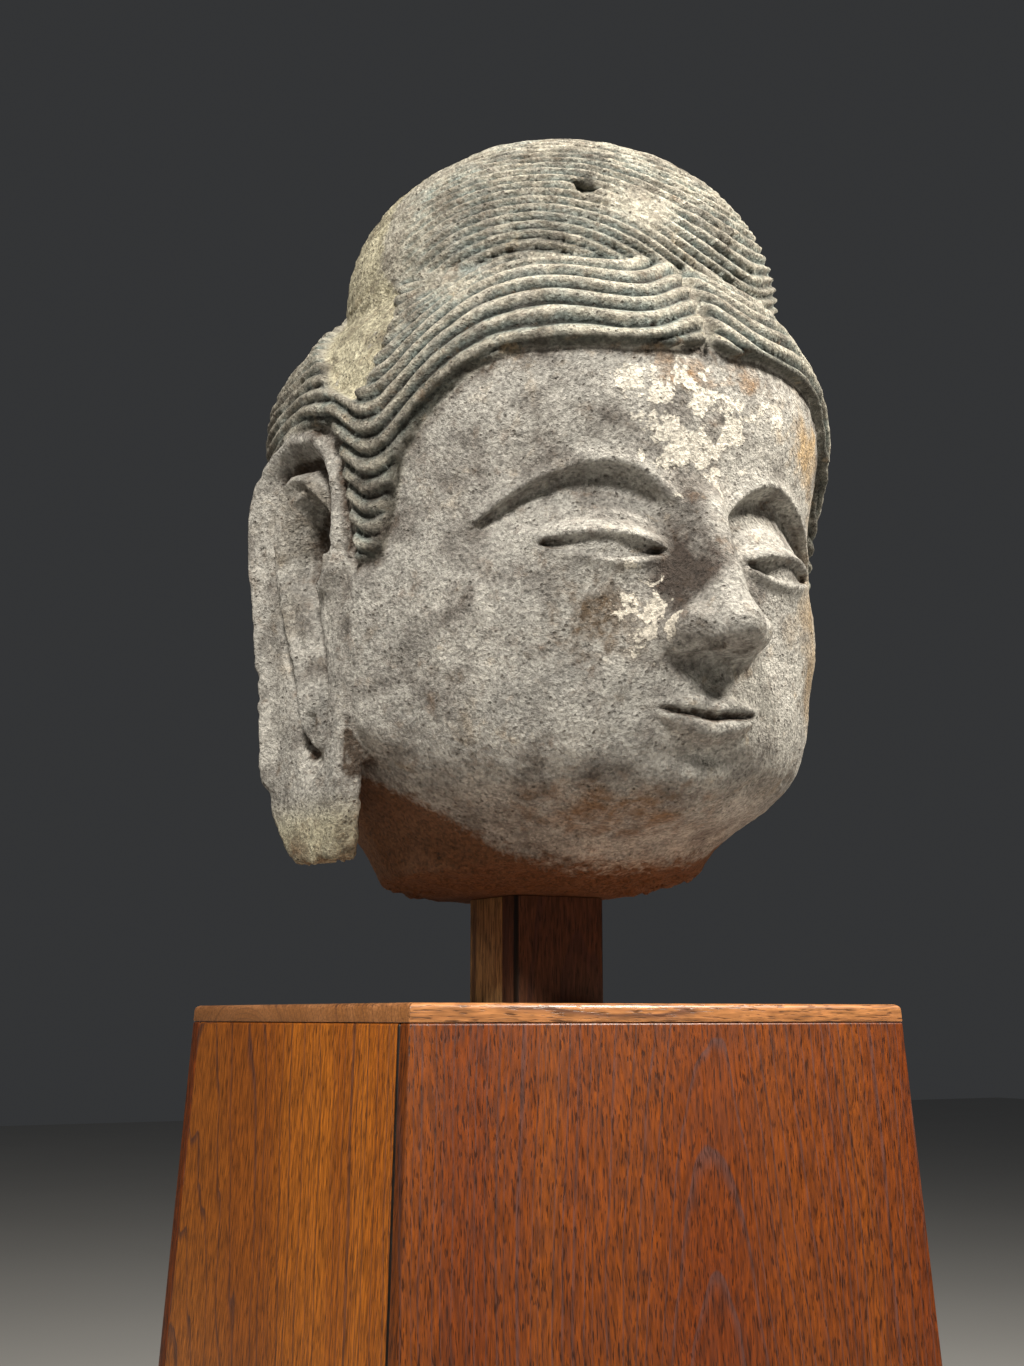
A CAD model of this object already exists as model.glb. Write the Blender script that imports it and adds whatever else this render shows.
"""A carved stone head of a Buddha on a square post and a tapered teak plinth: form and finish.

The head is one fine mesh. Its masses, face, ears and breaks are a field of signed distances in
millimetres, meshed on a lattice, and its strands of hair are then carved by Geometry Nodes from
a number and a depth that each point carries. Post and plinth keep the frame's boards, with worn
arrises. Lengths are millimetres in the head's own axes (x to its left, -y to its face, z up from
its seat) until a mesh is made in metres.
"""
import math
import bmesh
import bpy
import numpy as np
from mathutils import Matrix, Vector


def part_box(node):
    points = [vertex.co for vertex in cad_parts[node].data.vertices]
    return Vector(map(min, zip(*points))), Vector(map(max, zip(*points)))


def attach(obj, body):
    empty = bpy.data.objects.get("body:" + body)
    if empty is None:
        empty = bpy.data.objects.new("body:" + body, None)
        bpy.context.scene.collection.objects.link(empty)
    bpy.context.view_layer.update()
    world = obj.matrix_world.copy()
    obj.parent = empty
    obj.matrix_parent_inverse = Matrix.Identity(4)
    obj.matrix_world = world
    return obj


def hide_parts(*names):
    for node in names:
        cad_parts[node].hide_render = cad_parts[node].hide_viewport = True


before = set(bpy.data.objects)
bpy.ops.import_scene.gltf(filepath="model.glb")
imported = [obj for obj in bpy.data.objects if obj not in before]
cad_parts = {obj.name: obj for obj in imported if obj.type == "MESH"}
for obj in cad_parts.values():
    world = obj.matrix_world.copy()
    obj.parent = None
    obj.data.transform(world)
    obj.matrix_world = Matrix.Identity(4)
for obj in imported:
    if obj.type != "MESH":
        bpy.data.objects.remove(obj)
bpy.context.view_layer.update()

MM = 0.001
BOARD_LOW, BOARD_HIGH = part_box("plinth_top_board")
HEAD_LOW, HEAD_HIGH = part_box("stone_head")
AXIS = Vector(((BOARD_LOW.x + BOARD_HIGH.x) / 2, (BOARD_LOW.y + BOARD_HIGH.y) / 2, 0))
HEAD_SEAT = AXIS + Vector((0, 0, HEAD_LOW.z))        # the head's own zero, in metres

TAPER = 0.056                       # each side of the plinth leans out this much per metre down
SIDE_LOW, SIDE_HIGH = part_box("plinth_right_panel")
FITTED_HALF = (SIDE_HIGH.y - SIDE_LOW.y) / 2         # half a fitted panel's width at the floor
POST_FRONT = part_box("post_front_board")[0].y         # the front face of the post

# ---------------------------------------------------------------- named sizes of the head
LATTICE = 3.0                       # spacing of the lattice that the head is meshed on
LATTICE_LOW, LATTICE_HIGH = (-300, -390, -12), (300, 240, 748)
HEAD_TRIANGLES = 190000
HUB_Y = -38                         # upright axis that the strands of hair turn about
HAIR_THICK = 13
STRAND_DEPTH = 9.5
CROWN_CENTRE = (0, -68, 573.2)
CROWN_RADII = (215.3, 208.5, 163.8)
CROWN_PITCH = 13
CROWN_DEPTH = 8
BACK_FLAT = 222                     # the back is dressed flat here
SEAT_RADIUS = 94                    # the flat seat under the neck
EARS_OUTSIDE = 215                  # the ears' own marks start this far out
EAR_TOP = 427                       # height of the ear's upper edge
EAR_THICK = 28                      # the lobe; the ear above it runs back into the head

# Height of the hair's lower edge over the forehead, by degrees round from the middle
HAIRLINE = [(0, 466), (8, 457), (20, 454), (30, 453), (39, 446), (45, 433), (49, 420), (54, 400),
            (58, 382), (60.5, 360), (62.3, 335), (64, 310), (65, 288)]
# ... and over and behind the ear
OVER_EAR = [(60, 290), (65, 288), (68, 284), (71, 289), (73, 330), (75, 388), (79, 416), (95, 421),
            (108, 412), (118, 366), (126, 300), (140, 190), (180, 150)]
# Height where strand number 0 runs
FIRST_STRAND = [(0, 456), (6, 455.5), (12, 455), (20, 453), (30, 453), (39, 447), (45, 434),
                (49, 421), (54, 404), (58, 390), (61.5, 379), (65, 373.5), (68.5, 376), (72, 388),
                (78, 404), (90, 418), (110, 414), (135, 396), (180, 380)]
# The side lock is broken away behind this line (height, degrees) and above this one (degrees, height)
BREAK_FRONT = [(425, -71), (433, -70.4), (451, -66.5), (480, -64.5), (527, -65.6), (571, -72.8),
               (600, -74)]
BREAK_FOOT = [(-180, 640), (-112, 600), (-105, 560), (-92, 512), (-84, 482), (-79, 452), (-74, 438),
              (-70, 428), (-60, 428)]
# Ear, in the side plane (y, z)
EAR_RIM = [(-82, 268), (-96, 280), (-102, 302), (-102, 330), (-98, 362), (-86, 390), (-62, 411),
           (-25, 416), (8, 405), (32, 384), (43, 355), (41, 318), (33, 278), (26, 238), (19, 198),
           (14, 150), (10, 100)]
EAR_GROOVE = [(-82, 300), (-82, 335), (-74, 370), (-54, 391), (-26, 394), (2, 385), (13, 362),
              (12, 330), (5, 292), (-5, 252), (-20, 211), (-36, 171), (-46, 133), (-56, 105)]
EAR_FOLD = [(-68, 330), (-66, 352), (-50, 374), (-30, 380), (-10, 373), (0, 348), (-2, 309),
            (-10, 269), (-24, 238), (-38, 207), (-48, 169), (-58, 128)]
EAR_ARCH = [(-70, 300), (-66, 330), (-56, 350), (-40, 361), (-22, 356), (-11, 333), (-11, 300),
            (-18, 272)]
EAR_SLIT = [(-50, 268), (-58, 240), (-67, 208), (-72, 172), (-71, 140), (-65, 112)]
EAR_BACK = [(12, -40), (20, -24), (40, -4), (74, 10), (122, 18), (198, 27), (278, 41), (330, 51),
            (372, 51), (400, 38), (418, 14), (427, -20)]
EAR_FRONT = [(12, -66), (20, -80), (46, -95), (80, -100), (110, -103), (200, -107), (270, -106),
             (294, -110), (340, -108), (380, -102), (408, -80), (427, -44)]
# The brown underside reaches up to here (degrees round, height)
UNDERSIDE = [(0, 14), (25, 20), (45, 34), (65, 66), (85, 104), (110, 112), (180, 100)]
# Nose in profile (z, y) and half its width (z, x)
NOSE_RIDGE = [(185, -352), (203, -366), (225, -360), (260, -346), (295, -333), (325, -322), (350, -314)]
NOSE_HALF = [(185, 19), (203, 19), (225, 14), (260, 11), (295, 10.5), (325, 13), (350, 22)]


# ---------------------------------------------------------------- camera, stage and light
def aim(thing, place, target):
    thing.location = place
    thing.rotation_euler = (Vector(target) - Vector(place)).to_track_quat("-Z", "Y").to_euler()
    bpy.context.scene.collection.objects.link(thing)


def add_camera():
    """A low three-quarter view from the head's right, looking a little up."""
    azimuth, rise_angle = math.radians(-29.2), math.radians(10.41)
    place = AXIS + Vector((-0.8857, -1.5514, 0.889))
    heading = Vector((-math.sin(azimuth) * math.cos(rise_angle),
                      math.cos(azimuth) * math.cos(rise_angle), math.sin(rise_angle)))
    lens = bpy.data.cameras.new("camera")
    lens.lens = 47.86
    lens.sensor_width = 36
    camera = bpy.data.objects.new("camera", lens)
    aim(camera, place, place + heading)
    bpy.context.scene.camera = camera


def add_lamp(name, target, azimuth, height, distance, size, power, colour):
    """A soft round lamp, placed by degrees round from the face and up, and metres off."""
    turn, up = math.radians(azimuth), math.radians(height)
    way = Vector((math.sin(turn) * math.cos(up), -math.cos(turn) * math.cos(up), math.sin(up)))
    lamp = bpy.data.lights.new(name, "AREA")
    lamp.shape = "DISK"
    lamp.size = size
    lamp.energy = power
    lamp.color = linear(colour)[:3]
    light = bpy.data.objects.new(name, lamp)
    aim(light, target + way * distance, target)
    light.visible_camera = False


def add_stage():
    """A plain pale floor, three soft lamps and a dim, even room."""
    floor_mesh = bpy.data.meshes.new("floor")
    reach = 14
    corners = [(-reach, -reach, 0), (reach, -reach, 0), (reach, reach, 0), (-reach, reach, 0)]
    floor_mesh.from_pydata(corners, [], [(0, 1, 2, 3)])
    floor = bpy.data.objects.new("floor", floor_mesh)
    bpy.context.scene.collection.objects.link(floor)
    floor_mesh.materials.append(plain_floor())
    middle = AXIS + Vector((0, 0, 1.35))
    add_lamp("lamp_left", middle, -38, 38, 2.5, 0.5, 90, "#fffaf2")
    add_lamp("lamp_right", middle, 48, 44, 2.6, 0.5, 142, "#fff8ec")
    add_lamp("lamp_far_left", middle, -100, 25, 3.4, 1.2, 12, "#fff2e2")
    world = bpy.data.worlds.new("room")
    bpy.context.scene.world = world
    world.use_nodes = True
    world.node_tree.nodes["Background"].inputs["Color"].default_value = linear("#b9bcc0")
    world.node_tree.nodes["Background"].inputs["Strength"].default_value = 0.07
    bpy.context.scene.view_settings.view_transform = "Standard"


# ---------------------------------------------------------------- field helpers
def clamp(t):
    return np.clip(t, 0, 1)


def join(a, b, blend):
    """Union of two distances with a fillet about as wide as blend."""
    h = clamp(0.5 + 0.5 * (b - a) / blend)
    return b + (a - b) * h - blend * h * (1 - h)


def cut(a, b, blend):
    """The part common to both, with a rounded edge."""
    return -join(-a, -b, blend)


def rise(t, width):
    """0 to 1 across a width centred on t = 0."""
    s = clamp(t / width + 0.5)
    return s * s * (3 - 2 * s)


def bump(t, width):
    return np.exp(-(t / width) ** 2)


def ellipsoid(x, y, z, centre, radii):
    px, py, pz = (x - centre[0]) / radii[0], (y - centre[1]) / radii[1], (z - centre[2]) / radii[2]
    near = np.sqrt(px * px + py * py + pz * pz)
    steep = np.sqrt((px / radii[0]) ** 2 + (py / radii[1]) ** 2 + (pz / radii[2]) ** 2)
    return near * (near - 1) / np.maximum(steep, 1e-6)


def curve(u, points):
    """A smooth curve through a few points, held level past its ends."""
    at = np.array([p[0] for p in points], float)
    value = np.array([p[1] for p in points], float)
    slope = np.gradient(value, at)
    slope[1:-1] = (value[2:] - value[:-2]) / (at[2:] - at[:-2])
    u = np.clip(u, at[0], at[-1])
    i = np.clip(np.searchsorted(at, u, side="right") - 1, 0, len(at) - 2)
    span = at[i + 1] - at[i]
    t = (u - at[i]) / span
    return ((2 * t ** 3 - 3 * t ** 2 + 1) * value[i] + (t ** 3 - 2 * t ** 2 + t) * span * slope[i]
            + (-2 * t ** 3 + 3 * t ** 2) * value[i + 1] + (t ** 3 - t ** 2) * span * slope[i + 1])


def path_distance(y, z, points):
    """Distance to a line of short straight runs in the side plane."""
    best = np.full(np.shape(y), 1e9)
    for (ay, az), (by, bz) in zip(points[:-1], points[1:]):
        ey, ez = by - ay, bz - az
        t = clamp(((y - ay) * ey + (z - az) * ez) / (ey * ey + ez * ez))
        best = np.minimum(best, np.hypot(y - ay - t * ey, z - az - t * ez))
    return best


def rough(x, y, z, fineness=1.0):
    """Broken stone, about -1 to 1, in lumps of some 20 mm at fineness 1."""
    f = fineness
    a = np.sin(x * .19 * f + 1.7 * np.sin(z * .083 * f + 1.1) + .6)
    b = np.sin(y * .17 * f + 1.9 * np.sin(x * .071 * f + 2.3) + 1.9)
    c = np.sin(z * .21 * f + 1.6 * np.sin(y * .093 * f + .4) + 3.1)
    d = np.sin((x + y) * .41 * f + c) * np.sin((z - x) * .37 * f + a)
    return (a + b + c) * .24 + d * .3


def grit(x, y, z, size, seed):
    """Smooth random lumps about -1 to 1, one knot each `size` mm."""
    px, py, pz = x / size, y / size, z / size
    ix, iy, iz = (np.floor(p).astype(np.int64) for p in (px, py, pz))
    fx, fy, fz = px - ix, py - iy, pz - iz
    wx, wy, wz = (f * f * (3 - 2 * f) for f in (fx, fy, fz))
    total = 0
    for dx in (0, 1):
        for dy in (0, 1):
            for dz in (0, 1):
                mixed = (ix + dx) * 73856093 ^ (iy + dy) * 19349663 ^ (iz + dz) * 83492791 ^ seed * 2654435
                mixed = (mixed ^ (mixed >> 13)) * 1274126177 & 0x7fffffff
                value = (mixed ^ (mixed >> 16)) % 65536 / 32767.5 - 1
                weight = np.abs(1 - dx - wx) * np.abs(1 - dy - wy) * np.abs(1 - dz - wz)
                total = total + weight * value
    return total


# ---------------------------------------------------------------- masses of the head
def skin(x, y, z):
    side = np.abs(x)
    d = ellipsoid(side, y, z, (0, -38, 425), (257, 282, 205))                       # skull
    d = join(d, ellipsoid(side, y, z, (0, -64, 240), (240, 247, 190)), 70)          # face
    d = join(d, ellipsoid(side, y, z, (0, -150, 128), (176, 150, 84)), 50)          # jaw
    d = join(d, ellipsoid(side, y, z, (0, -62, 150), (228, 200, 116)), 40)          # jowls
    d = join(d, ellipsoid(side, y, z, (0, 35, 230), (215, 180, 235)), 60)           # nape
    d = d - 5 * bump(np.hypot(side - 128, z - 190), 62) * (y < -40)                 # cheeks
    return d - 14 * bump(y + 120, 24) * rise(z - 122, 34) * rise(286 - z, 44)       # out to the ears


# ---------------------------------------------------------------- hair
def degrees_round(x, y):
    return np.degrees(np.arctan2(x, -(y - HUB_Y)))


def break_mask(around, z):
    """1 where the side lock over the right ear is broken away."""
    ragged = 1.5 * rough(around * 4, z, z)
    behind_lock = rise(curve(z, BREAK_FRONT) + ragged - around, 4)
    return behind_lock * rise(z - curve(around, BREAK_FOOT), 8) * rise(around + 118, 14)


def hair_inside(x, y, z):
    """How far inside the edge of the hair a point lies."""
    around = degrees_round(x, y)
    off = np.abs(around)
    lifted = 10 * rise(around - 8, 8) * rise(50 - around, 20)        # a little higher on the left
    over_forehead = z - curve(off, HAIRLINE) - lifted
    edge = np.where(off < 65, over_forehead, z - curve(off, OVER_EAR))
    lean = np.where((off > 40) & (off < 66), 0.45,
                    np.where((off > 70) & (off < 80), 0.35, np.where(off > 110, 0.6, 1.0)))
    return edge * lean


def parting(x, z):
    return bump(x, 5.5) * rise(556 - z, 14) * rise(z - 455, 10)


def hair_shell(x, y, z, skin_distance):
    around = degrees_round(x, y)
    gone = break_mask(around, z)
    thick = HAIR_THICK + 2 * bump(np.abs(around) - 68, 6) * rise(430 - z, 30)
    broken = 1.5 + 3.5 * rough(x, y, z) + 1.6 * rough(x, y, z, 2.3)
    thick = thick * (1 - gone) + gone * broken
    body = skin_distance - thick + 9 * parting(x, z)
    return cut(body, -hair_inside(x, y, z), 11)


def hair_strands(x, y, z):
    """Number and depth of the waved strands, counted up from the hairline."""
    around = degrees_round(x, y)
    off = np.abs(around)
    behind = rise(off - 86, 20)
    crest = rise(off - 20, 24) * rise(57 - off, 16)
    height = z - curve(off, FIRST_STRAND) - 24 * bump(off, 8.5)
    pitch = 17.5 + 6.5 * crest - 2.5 * behind
    narrowing = 0.14 + 1.0 * crest
    local = np.sqrt(np.maximum(pitch * pitch - 4 * narrowing * np.maximum(height, 0), 64))
    number = np.where(height < 0, height / pitch, (pitch - local) / (2 * narrowing))
    depth = np.minimum(STRAND_DEPTH, .5 * local) * (0.5 + 0.5 * rise(100 - off, 30))
    depth = depth * (1 - break_mask(around, z)) * (1 - parting(x, z))
    return number, depth * rise(hair_inside(x, y, z) - 1.5, 5)


def crown_strands(x, y, z):
    """Number and depth of the strands that circle the crown, dipping in three waves."""
    px, py, pz = ((v - c) / r for v, c, r in zip((x, y, z), CROWN_CENTRE, CROWN_RADII))
    turn = np.arctan2(px, -py)
    up = np.arctan2(pz, np.hypot(px, py))
    wave = 42 * np.cos(3 * (turn + .66)) * np.exp(-np.maximum(up, 0) * 1.2)
    depth = CROWN_DEPTH * rise(1.2 - up, 1.3) * (0.45 + 0.55 * rise(-y - 20, 80))
    depth = depth * (0.25 + 0.75 * rise(turn + 1.15, .5))
    return (up * 195 + 5 - wave) / CROWN_PITCH, depth * (1 - worn_patch(x, y, z))


def worn_patch(x, y, z):
    """The front of the crown is worn smooth beside its pit."""
    return bump(np.hypot(x + 30, (z - 608) * 1.4), 34) * (y < -200)


def crown(x, y, z):
    d = ellipsoid(x, y, z, CROWN_CENTRE, CROWN_RADII) + 2.5 * worn_patch(x, y, z)
    pit = np.sqrt((x + 81) ** 2 + (y + 249) ** 2 + (z - 624) ** 2) - 11
    return cut(d, -pit, 3)


def hair_bunch(x, y, z):
    """Hair gathered behind the ears."""
    return ellipsoid(np.abs(x), y, z, (205, 45, 455), (50, 75, 70)) - 2.5 * np.sin(z * .42 + .02 * y)


# ---------------------------------------------------------------- face
def face_relief(x, z):
    """Height of the features over the skin, in the front view."""
    side = np.abs(x)
    brow = np.where(side < 88, 352 - 50 * ((side - 88) / 76) ** 2, 352 - 36 * ((side - 88) / 80) ** 2)
    under_brow = brow - z
    ends = rise(side - 14, 14) * rise(176 - side, 34)
    h = ends * 4 * bump(under_brow + 3, 7)
    socket = rise(under_brow - 3, 9) * np.exp(-(np.maximum(under_brow - 12, 0) / 34) ** 2)
    h -= ends * 12.5 * socket * (0.75 + 0.25 * bump(side - 60, 50))
    return h + eye_relief(side, z) + mouth_relief(x, side, z)


def eye_relief(side, z):
    """Half-closed eyes: the ball, both lids, the crease over them and the narrow opening."""
    across = side - 93
    ball = np.abs(across / 58) ** 2.4 + np.abs((z - 283) / 31) ** 2.2
    h = 15 * np.exp(-ball * 1.15)
    t = clamp(np.abs(across) / 48)
    slant = 0.05 * across
    upper = 279 + 5.5 * (1 - t ** 2) + slant
    lower = 276 - 9.5 * (1 - t ** 1.8) + slant
    opening = rise(upper - z, 3) * rise(z - lower, 3) * rise(48 - np.abs(across), 6)
    h -= 8 * opening * (1 - 0.45 * bump(across / 22, 1))
    h += 4 * bump(z - upper - 4, 4) * rise(54 - np.abs(across), 10)
    h -= 4 * bump(z - upper - 17 - 2 * (1 - t ** 2), 3.2) * rise(56 - np.abs(across), 14)
    return h + 2.6 * bump(z - lower + 4.5, 3.5) * rise(50 - np.abs(across), 10)


def mouth_relief(x, side, z):
    """Muzzle, chin, philtrum and full closed lips with slightly raised corners."""
    h = 7 * np.exp(-(x / 84) ** 2 - ((z - 152) / 46) ** 2)
    h += 8 * np.exp(-(x / 44) ** 2 - ((z - 76) / 26) ** 2)
    h -= 5 * np.exp(-(x / 40) ** 2 - ((z - 103) / 9) ** 2)
    h -= 3.2 * bump(x, 7.5) * rise(z - 158, 8) * rise(190 - z, 10)
    h += 1.8 * bump(side - 12, 5) * rise(z - 158, 8) * rise(186 - z, 10)
    t = clamp(side / 64)
    seam = 137 + 7 * t ** 2 - 2.2 * bump(x, 9)
    top = seam + 17.5 * (1 - t ** 1.7) ** 0.9 - 3.2 * bump(x, 6.5) + 1.4 * bump(side - 13, 7)
    foot = seam - 21 * (1 - clamp(side / 57) ** 2.2) - 0.5
    upper = (z - (seam + top) / 2) / ((top - seam) / 2 + 0.8)
    lower = (z - (seam + foot) / 2) / ((seam - foot) / 2 + 0.8)
    h += rise(66 - side, 14) * (9 - 3.5 * t) * np.maximum(0, 1 - upper ** 2) ** 0.55
    h += rise(60 - side, 18) * (11 - 4 * t) * np.maximum(0, 1 - lower ** 2) ** 0.55
    h -= 6 * bump(z - seam, 2.6) * rise(68 - side, 8)
    return h - 5 * np.exp(-((side - 70) / 16) ** 2 - ((z - 144) / 15) ** 2)


def nose(x, y, z):
    side = np.abs(x)
    ridge = curve(z, NOSE_RIDGE)
    flare = 0.62
    flank = (side - curve(z, NOSE_HALF) - flare * (y - ridge)) / math.hypot(1, flare)
    d = cut(flank, ridge - y, 9)
    d = cut(d, 192 - 0.10 * (y + 366) - z, 9)
    d = cut(d, z - 345, 30)
    d = join(d, ellipsoid(side, y, z, (0, -349, 211), (21, 25, 18)), 12)            # tip
    d = join(d, ellipsoid(side, y, z, (29, -326, 209), (19, 27, 17)), 7)            # wings
    return cut(d, -ellipsoid(side, y, z, (15, -340, 191), (7, 11, 8)), 4)           # nostrils


# ---------------------------------------------------------------- ears
def ear_plane(y, z):
    """How far out the ear's face stands; the lobe bends in a little below."""
    return 268 + 0.17 * y - 0.0012 * np.maximum(0, 90 - z) ** 2


def ear(x, y, z):
    """A long ear: outline, rim, inner folds and lobe; both lobes end in breaks."""
    side = np.abs(x)
    plane = ear_plane(y, z)
    back, front = curve(z, EAR_BACK), curve(z, EAR_FRONT)
    outline = np.abs(y - (back + front) / 2) - (back - front) / 2
    outline = cut(outline * 0.85, np.maximum(z - EAR_TOP, 15 - z), 10)
    ridges = 10 * bump(path_distance(y, z, EAR_RIM), 8)
    ridges += 9 * bump(path_distance(y, z, EAR_FOLD), 4.5)
    ridges += 6.5 * bump(path_distance(y, z, EAR_ARCH), 5.2)
    d = cut(outline, side - plane - ridges, 9)
    d = cut(d, plane - (EAR_THICK + 54 * rise(z - 128, 46)) - side, 10)
    stump = 134 + 9 * rough(x, y, z) + 3 * rough(x, y, z, 2.1) + 0.15 * (y + 40)
    tip = 24 + 8 * rough(x + 40, y, z, 1.3) + 4 * rough(x, y, z, 2.4)
    return cut(d, np.where(x > 0, stump, tip) - z, 5)


def ear_hollows(x, y, z):
    """Depth cut through ear and cheek together: the groove in the rim, the hollow, the long slit."""
    deep = 16 * bump(path_distance(y, z, EAR_GROOVE), 7.5)
    deep += 26 * rise(9 - path_distance(y, z, EAR_SLIT), 7)
    hollow = np.hypot((y + 44 + 0.12 * (z - 310)) / 27, (z - 312) / 46)
    deep += 34 * rise(1 - hollow, 0.34)
    return deep * rise(np.abs(x) - 220, 24)


# ---------------------------------------------------------------- the whole head
def within(mask, field, x, y, z, far=300.0):
    """A field worked out only where it can matter."""
    d = np.full(np.shape(x), far)
    d[mask] = field(x[mask], y[mask], z[mask])
    return d


def face_body(x, y, z, skin_distance):
    frontal = rise(-y - 150, 60) * rise(440 - z, 60)
    near = frontal > 0
    relief = np.zeros(np.shape(x))
    relief[near] = face_relief(x[near], z[near]) * frontal[near]
    nose_box = (np.abs(x) < 90) & (y < -240) & (z > 160) & (z < 380)
    return join(skin_distance - relief, within(nose_box, nose, x, y, z), 10)


def all_hair(x, y, z, skin_distance):
    d = join(hair_shell(x, y, z, skin_distance), hair_bunch(x, y, z), 20)
    return join(d, crown(x, y, z), 4)


def weathering(x, y, z):
    """Worn, uneven surface of old sandstone: shallow lumps and small pits."""
    pits = np.maximum(grit(x, y, z, 9, 3) - .45, 0) + np.maximum(grit(x, y, z, 5.5, 5) - .5, 0)
    return 0.6 * grit(x, y, z, 26, 1) + 1.0 * grit(x, y, z, 10, 2) + 4 * pits


def head(x, y, z):
    bare = skin(x, y, z)
    d = join(face_body(x, y, z, bare), all_hair(x, y, z, bare), 3)
    ear_box = (np.abs(x) > 165) & (y > -150) & (y < 85) & (z > 0) & (z < 450)
    d = join(d, within(ear_box, ear, x, y, z), 10)
    d = d + within(ear_box, ear_hollows, x, y, z, 0.0)
    d = cut(d, y - BACK_FLAT, 50)
    neck = cut((np.hypot(x / 150, (y + 24) / 136) - 1) * 140, z - 130, 20)
    d = join(d, neck, 60)
    out = np.hypot(x, y)
    under = curve(out, [(0, 0), (84, 0), (115, 4), (160, 13), (220, 16), (300, 14)])
    under = under + 0.05 * np.maximum(0, x - 40) + 0.06 * np.maximum(0, -y - 60)
    torn = 5 * (rough(x, y, z) + .4) + 2 * rough(x, y, z, 2.4)
    under = under + rise(out - SEAT_RADIUS, 20) * torn
    worn = weathering(x, y, z) * rise(z - 4, 6) * (1 - 0.6 * rise(-y - 285, 40))
    return cut(d + worn, under - z, 4)


# ---------------------------------------------------------------- meshing the field
def sample_near(field, low, count, step, block):
    """Sample a field at a lattice's points, only in the blocks that its surface can cross."""
    blocks = [n // block for n in count]
    middles = [a + step * block * (np.arange(n) + 0.5) for a, n in zip(low, blocks)]
    grid = np.meshgrid(*middles, indexing="ij")
    coarse = field(*[g.ravel() for g in grid]).reshape(grid[0].shape)
    values = np.full([n + 1 for n in count], 99, np.float32)
    signs = np.sign(coarse).astype(np.float32) * 99
    for axis in range(3):
        signs = np.repeat(signs, block, axis)
    values[:-1, :-1, :-1] = signs
    reach = step * block * math.sqrt(3) / 2 * 1.6
    busy = np.argwhere(np.abs(coarse) < reach)
    one = np.arange(block + 1)
    inner = np.stack(np.meshgrid(one, one, one, indexing="ij"), -1).reshape(-1, 3)
    at_once = 4000
    for first in range(0, len(busy), at_once):
        index = (busy[first:first + at_once, None, :] * block + inner[None]).reshape(-1, 3)
        place = [low[k] + step * index[:, k] for k in range(3)]
        values[tuple(index.T)] = field(*place)
    return values


def surface_nets(field, low, high, step, block=8):
    """Closed mesh of a field's zero: one point in each crossed cell, one face on each crossed edge."""
    count = [math.ceil((b - a) / step / block) * block for a, b in zip(low, high)]
    values = sample_near(field, low, count, step, block)
    inside = values < 0
    corners = [(a, b, c) for a in (0, 1) for b in (0, 1) for c in (0, 1)]
    filled = sum(inside[a:count[0] + a, b:count[1] + b, c:count[2] + c].astype(np.int8)
                 for a, b, c in corners)
    crossed = (filled > 0) & (filled < 8)
    cells = np.argwhere(crossed)
    number = np.full(crossed.shape, -1, np.int64)
    number[crossed] = np.arange(len(cells))
    total, hits = np.zeros((len(cells), 3)), np.zeros(len(cells))
    for start in corners:
        for axis in range(3):
            if start[axis]:
                continue
            end = tuple(c + (k == axis) for k, c in enumerate(start))
            a, b = (values[tuple((cells + np.array(c)).T)] for c in (start, end))
            hit = (a < 0) != (b < 0)
            point = np.tile(np.array(start, float), (len(cells), 1))
            point[:, axis] = np.where(hit, a / np.where(hit, a - b, 1), 0)
            total += hit[:, None] * point
            hits += hit
    points = (cells + total / hits[:, None]) * step + np.array(low)
    faces = []
    for axis in range(3):
        side_a, side_b = (axis + 1) % 3, (axis + 2) % 3
        before = np.take(inside, range(count[axis]), axis)
        after = np.take(inside, range(1, count[axis] + 1), axis)
        edges = np.argwhere(before != after)
        clear = ((edges[:, side_a] > 0) & (edges[:, side_b] > 0)
                 & (edges[:, side_a] < count[side_a]) & (edges[:, side_b] < count[side_b]))
        edges = edges[clear]
        ring = []
        for back_a, back_b in ((0, 0), (0, 1), (1, 1), (1, 0)):
            cell = edges.copy()
            cell[:, side_a] -= back_a
            cell[:, side_b] -= back_b
            ring.append(number[tuple(cell.T)])
        ring = np.stack(ring, 1)
        leaving = before[tuple(edges.T)]
        ring[leaving] = ring[leaving][:, ::-1]
        faces.append(ring)
    return points, np.concatenate(faces)


# ---------------------------------------------------------------- nodes
def linear(code):
    """An sRGB hex colour as linear RGBA."""
    parts = [int(code[i:i + 2], 16) / 255 for i in (1, 3, 5)]
    return [p / 12.92 if p <= 0.04045 else ((p + 0.055) / 1.055) ** 2.4 for p in parts] + [1]


def per_metre(size):
    """Texture scale for a pattern whose features are `size` mm across."""
    return 1 / (size * MM)


def add(tree, kind, inputs=None, **settings):
    """Add a node with its settings; inputs maps a socket to a value or to another node's output."""
    node = tree.nodes.new(kind)
    for name, value in settings.items():
        setattr(node, name, value)
    for socket, value in (inputs or {}).items():
        if isinstance(value, bpy.types.NodeSocket):
            tree.links.new(value, node.inputs[socket])
        else:
            node.inputs[socket].default_value = value
    return node


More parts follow.
